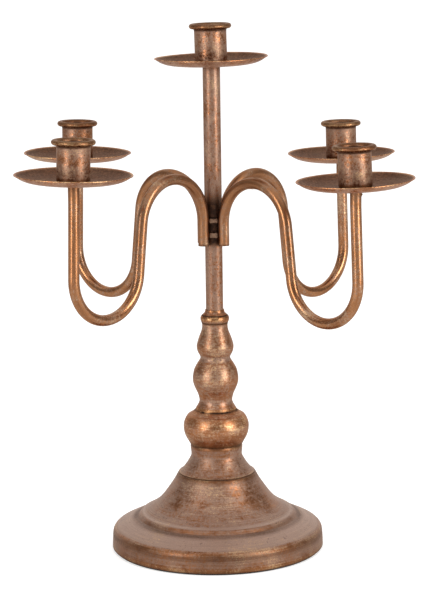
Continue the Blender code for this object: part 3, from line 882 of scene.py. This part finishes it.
def make_pan(place, matrix, phase, material):
    """A drip pan: flat in the middle, curved up to a rounded rim, with painted shade inside and around
    the cup.
    """
    curved = PAN_RADIUS - PAN_FLAT_RADIUS
    under = []
    for i in range(PAN_STEPS + 1):
        share = (i / PAN_STEPS) ** 0.7
        under.append((PAN_FLAT_RADIUS + curved * share, pan_rise(share)))
    upper = inset(under[:-1], -PAN_SHEET)
    upper = [(r, z) for r, z in upper if z < PAN_DEPTH - 0.12 * MM]
    under = [(r, z) for r, z in under if z < PAN_DEPTH - 0.62 * MM]
    edge = PAN_SHEET / 2
    rim = arc((PAN_RADIUS - edge, PAN_DEPTH - edge), edge, 105.0, -25.0, 6)
    flat = PAN_FLAT_RADIUS * 0.7
    outline = [
        (SCREW_HOLE, PAN_SHEET), (flat, PAN_SHEET), *upper, *rim, *reversed(under),
        (flat, 0.0), (SCREW_HOLE, 0.0),
    ]

    def grime_and_shade(radius, height, angle):
        # Painted shade around the cup's foot and over the inside, fading out at the rim
        around_cup = near(radius, CUP_RADIUS, 2.0 * MM) * 0.8
        underside = pan_rise(max(0.0, (radius - PAN_FLAT_RADIUS) / curved))
        inside = 0.74 if height > PAN_SHEET * 0.55 + underside else 0.0
        at_rim = max(0.0, (radius - (PAN_RADIUS - 2.4 * MM)) / (2.0 * MM))
        return max(around_cup, inside) * (1.0 - min(1.0, at_rim))

    def wave(radius, angle):
        """Sheet that isn't quite true, most of all at the rim."""
        return (radius / PAN_RADIUS) ** 3 * PAN_WAVE * math.sin(2 * angle + phase)

    mesh = turned("pan_" + place, outline, PAN_SIDES, matrix @ Matrix.Translation((0.0, 0.0, GAP)),
                  1.0 * MM, grime_and_shade, wave)
    add_piece("pan_" + place, mesh, material, "antique_copper", "drip_pan_" + place)


def make_cup(place, matrix, material):
    """A candle cup with a rolled lip, and a countersunk hole in its floor for the screw."""
    lip = CUP_LIP_HEIGHT / 2
    lip_centre = (CUP_RADIUS + CUP_LIP_OVERHANG - lip, CUP_HEIGHT - lip)
    lip_foot = CUP_HEIGHT - CUP_LIP_HEIGHT
    fillet = smooth([
        (CUP_RADIUS, lip_foot - 2.2 * MM), (CUP_RADIUS + 0.12 * MM, lip_foot - 1.0 * MM),
        (CUP_RADIUS + 0.65 * MM, lip_foot - 0.15 * MM),
    ], 4)
    mouth = smooth([
        (CUP_BORE_RADIUS + 2.0 * MM, CUP_HEIGHT - 0.05 * MM),
        (CUP_BORE_RADIUS + 0.9 * MM, CUP_HEIGHT - 0.75 * MM),
        (CUP_BORE_RADIUS + 0.15 * MM, CUP_HEIGHT - 2.0 * MM),
        (CUP_BORE_RADIUS, CUP_HEIGHT - 3.6 * MM),
    ], 4)
    foot_side = CUP_RADIUS - CUP_FOOT_ROUNDING
    outline = [
        (SCREW_HOLE, 0.0), (foot_side, 0.0),
        *arc((foot_side, CUP_FOOT_ROUNDING), CUP_FOOT_ROUNDING, -90.0, 0.0, 4),
        *fillet, *arc(lip_centre, lip, -105.0, 88.0, 18), *mouth,
        (CUP_BORE_RADIUS, CUP_FLOOR), (SCREW_HEAD_HOLE, CUP_FLOOR),
        (SCREW_HEAD_HOLE, CUP_FLOOR - SCREW_HEAD_EDGE), (SCREW_HOLE, CUP_FLOOR - SCREW_SINK),
    ]

    def grime_and_shade(radius, height, angle):
        """Darker on the lip, and painted shade inside the cup, at its foot and under its lip."""
        amount = near(height, CUP_HEIGHT - 0.6 * MM, 1.8 * MM) * 0.60
        # Painted shade inside the cup's bore, at its foot on the pan and under its lip
        if radius < CUP_BORE_RADIUS + 0.3 * MM and height < CUP_HEIGHT - 2.0 * MM:
            amount = max(amount, 0.75)
        if radius > CUP_BORE_RADIUS:
            amount = max(amount, near(height, 0.0, 1.2 * MM) * 0.8)
        if radius < CUP_RADIUS + 1.0 * MM:
            amount = max(amount, near(height, lip_foot - 0.9 * MM, 0.8 * MM) * 0.7)
        return amount

    seat = matrix @ Matrix.Translation((0.0, 0.0, GAP + PAN_SHEET + GAP))
    mesh = turned("cup_" + place, outline, CUP_SIDES, seat, 1.5 * MM, grime_and_shade)
    add_piece("cup_" + place, mesh, material, "rubbed_copper", "candle_cup_" + place)


# ---------------------------------------------------------------- studio

# The room's light, and where it fades from dark to pale along a direction's Y and Z
ROOM_DARK = 0.30
ROOM_PALE = 1.0
BEHIND_FADE = (0.30, 0.88)
ABOVE_FADE = (0.45, 0.85)

FLOOR_RADIUS = 16.0
FLOOR_BELOW = 0.2 * MM
FLOOR_GLOW = 0.50
LAMP_TARGET = Vector((0.0, 0.0, 0.35))

# The camera's place in metres, lens in millimetres and angles in degrees
CAMERA_PLACE = (0.0, -1.7889, 0.5335)
CAMERA_LENS = 138.72
CAMERA_PITCH = 10.57
CAMERA_ROLL = -0.80


def make_room():
    """White where the camera sees it. As light it is pale from behind and above, and dark in front."""
    world = bpy.data.worlds.new("studio")
    g = Graph(world, "Background")
    toward = g.node("ShaderNodeSeparateXYZ", {0: g.coordinates("Generated")})
    behind = g.spread(toward.outputs["Y"], *BEHIND_FADE)
    above = g.spread(toward.outputs["Z"], *ABOVE_FADE)
    pale = g.spread(g.maths("MAXIMUM", behind, above), 0.0, 1.0, ROOM_DARK, ROOM_PALE)
    seen = g.node("ShaderNodeLightPath").outputs["Is Camera Ray"]
    g.feed(g.shader.inputs["Strength"], g.maths("MAXIMUM", seen, pale))
    g.shader.inputs["Color"].default_value = (1.0, 1.0, 1.0, 1.0)
    bpy.context.scene.world = world


def make_floor():
    """A pale matt floor that is lifted to white where the camera sees it."""
    g = Graph(bpy.data.materials.new("pale_floor"))
    g.shader.inputs["Base Color"].default_value = (0.80, 0.80, 0.80, 1.0)
    g.shader.inputs["Roughness"].default_value = 0.9
    g.shader.inputs["Specular IOR Level"].default_value = 0.1
    g.shader.inputs["Emission Color"].default_value = (1.0, 1.0, 1.0, 1.0)
    seen = g.node("ShaderNodeLightPath").outputs["Is Camera Ray"]
    g.feed(g.shader.inputs["Emission Strength"], g.maths("MULTIPLY", seen, FLOOR_GLOW))
    bm = bmesh.new()
    bmesh.ops.create_circle(bm, cap_ends=True, segments=96, radius=FLOOR_RADIUS)
    mesh = finished(bm, "studio_floor")
    mesh.materials.append(g.owner)
    floor = bpy.data.objects.new("studio_floor", mesh)
    bpy.context.scene.collection.objects.link(floor)
    floor.location.z = CAD_LOW.z - FLOOR_BELOW


def make_lamp(name, place, size, power, colour):
    """A soft upright lamp, aimed at the column."""
    light = bpy.data.lights.new(name, "AREA")
    light.shape = "RECTANGLE"
    light.size, light.size_y = size
    light.energy = power
    light.color = colour
    lamp = bpy.data.objects.new(name, light)
    bpy.context.scene.collection.objects.link(lamp)
    lamp.location = place
    lamp.rotation_euler = (LAMP_TARGET - Vector(place)).to_track_quat("-Z", "Y").to_euler()


def make_camera():
    """The photograph's view: a long lens, pitched down and rolled a little."""
    camera = bpy.data.cameras.new("studio_camera")
    camera.sensor_width = 36.0
    camera.lens = CAMERA_LENS
    camera.clip_start = 0.1
    camera.clip_end = 60.0
    holder = bpy.data.objects.new("studio_camera", camera)
    bpy.context.scene.collection.objects.link(holder)
    pitch, roll = math.radians(CAMERA_PITCH), math.radians(CAMERA_ROLL)
    forward = Vector((0.0, math.cos(pitch), -math.sin(pitch)))
    level = Vector((1.0, 0.0, 0.0))
    upright = level.cross(forward)
    right = math.cos(roll) * level + math.sin(roll) * upright
    up = -math.sin(roll) * level + math.cos(roll) * upright
    turn = Matrix((right, up, -forward)).transposed().to_4x4()
    holder.matrix_world = Matrix.Translation(CAMERA_PLACE) @ turn
    bpy.context.scene.camera = holder


# ---------------------------------------------------------------- build

cast = aged_copper("copper_cast", rosy=0.40, rubbed=0.60, streaks=0.9, flecks=0.06, light=1.02,
                   dull=0.34, patina=0.10, relief=0.35, mottle=0.15)
bun = aged_copper("copper_ball", rosy=0.30, rubbed=0.66, streaks=0.9, flecks=0.05, light=1.06,
                  dull=0.34, patina=0.10, relief=0.35, mottle=0.15)
spun = aged_copper("copper_spun", rosy=0.60, rubbed=0.38, streaks=0.9, flecks=0.36, dusty=0.65,
                   light=0.94, dull=0.27, patina=0.22, relief=0.6, edge_tint=(1.0, 0.92, 0.86))
pole = aged_copper("copper_stem", rosy=0.76, rubbed=0.45, streaks=0.3, flecks=0.48, along=120.0,
                   drawn=0.35, dull=0.24, patina=0.16, relief=0.7)
tubes = aged_copper("copper_tube", rosy=0.22, rubbed=0.40, streaks=0.3, flecks=0.14, along=70.0,
                    drawn=0.14, dull=0.25, patina=0.06, relief=0.16, mottle=0.13, tones=GOLDEN)
dish = aged_copper("copper_dish", rosy=0.64, rubbed=0.50, streaks=0.5, flecks=0.45, light=1.12,
                   dull=0.24, edge_tint=(0.80, 0.66, 0.58))
bright = aged_copper("copper_cup", rosy=0.58, rubbed=0.48, streaks=0.2, flecks=0.70, along=90.0,
                     dull=0.22, patina=0.24)
steel = plated_steel("steel_plated")
filler = braze_metal("braze_filler")

make_foot(spun)
make_felt(felt("felt_black"))
make_collar(spun)
make_ball(bun)
make_baluster(cast)
make_ferrule(cast)
make_stem(pole)
for arm_place, (arm_azimuth, *arm_changes) in ARMS.items():
    make_arm(arm_place, arm_azimuth, arm_changes, tubes)
make_tacks(filler)
for order, (light_place, seat_matrix) in enumerate(light_places().items()):
    make_pan(light_place, seat_matrix, 1.3 * order, dish)
    make_cup(light_place, seat_matrix, bright)
for node in frame["nodes"].values():
    if not node.hide_render:
        node.data.materials.clear()
        node.data.materials.append(steel)

make_room()
make_floor()
make_lamp("soft_left", (-1.36, -1.32, 0.78), (0.50, 1.5), 17.5, (1.0, 0.97, 0.92))
make_lamp("soft_right", (1.50, -1.20, 0.80), (0.55, 1.5), 27.5, (1.0, 0.97, 0.91))
make_camera()
bpy.context.scene.view_settings.view_transform = "Standard"
bpy.context.scene.view_settings.look = "None"
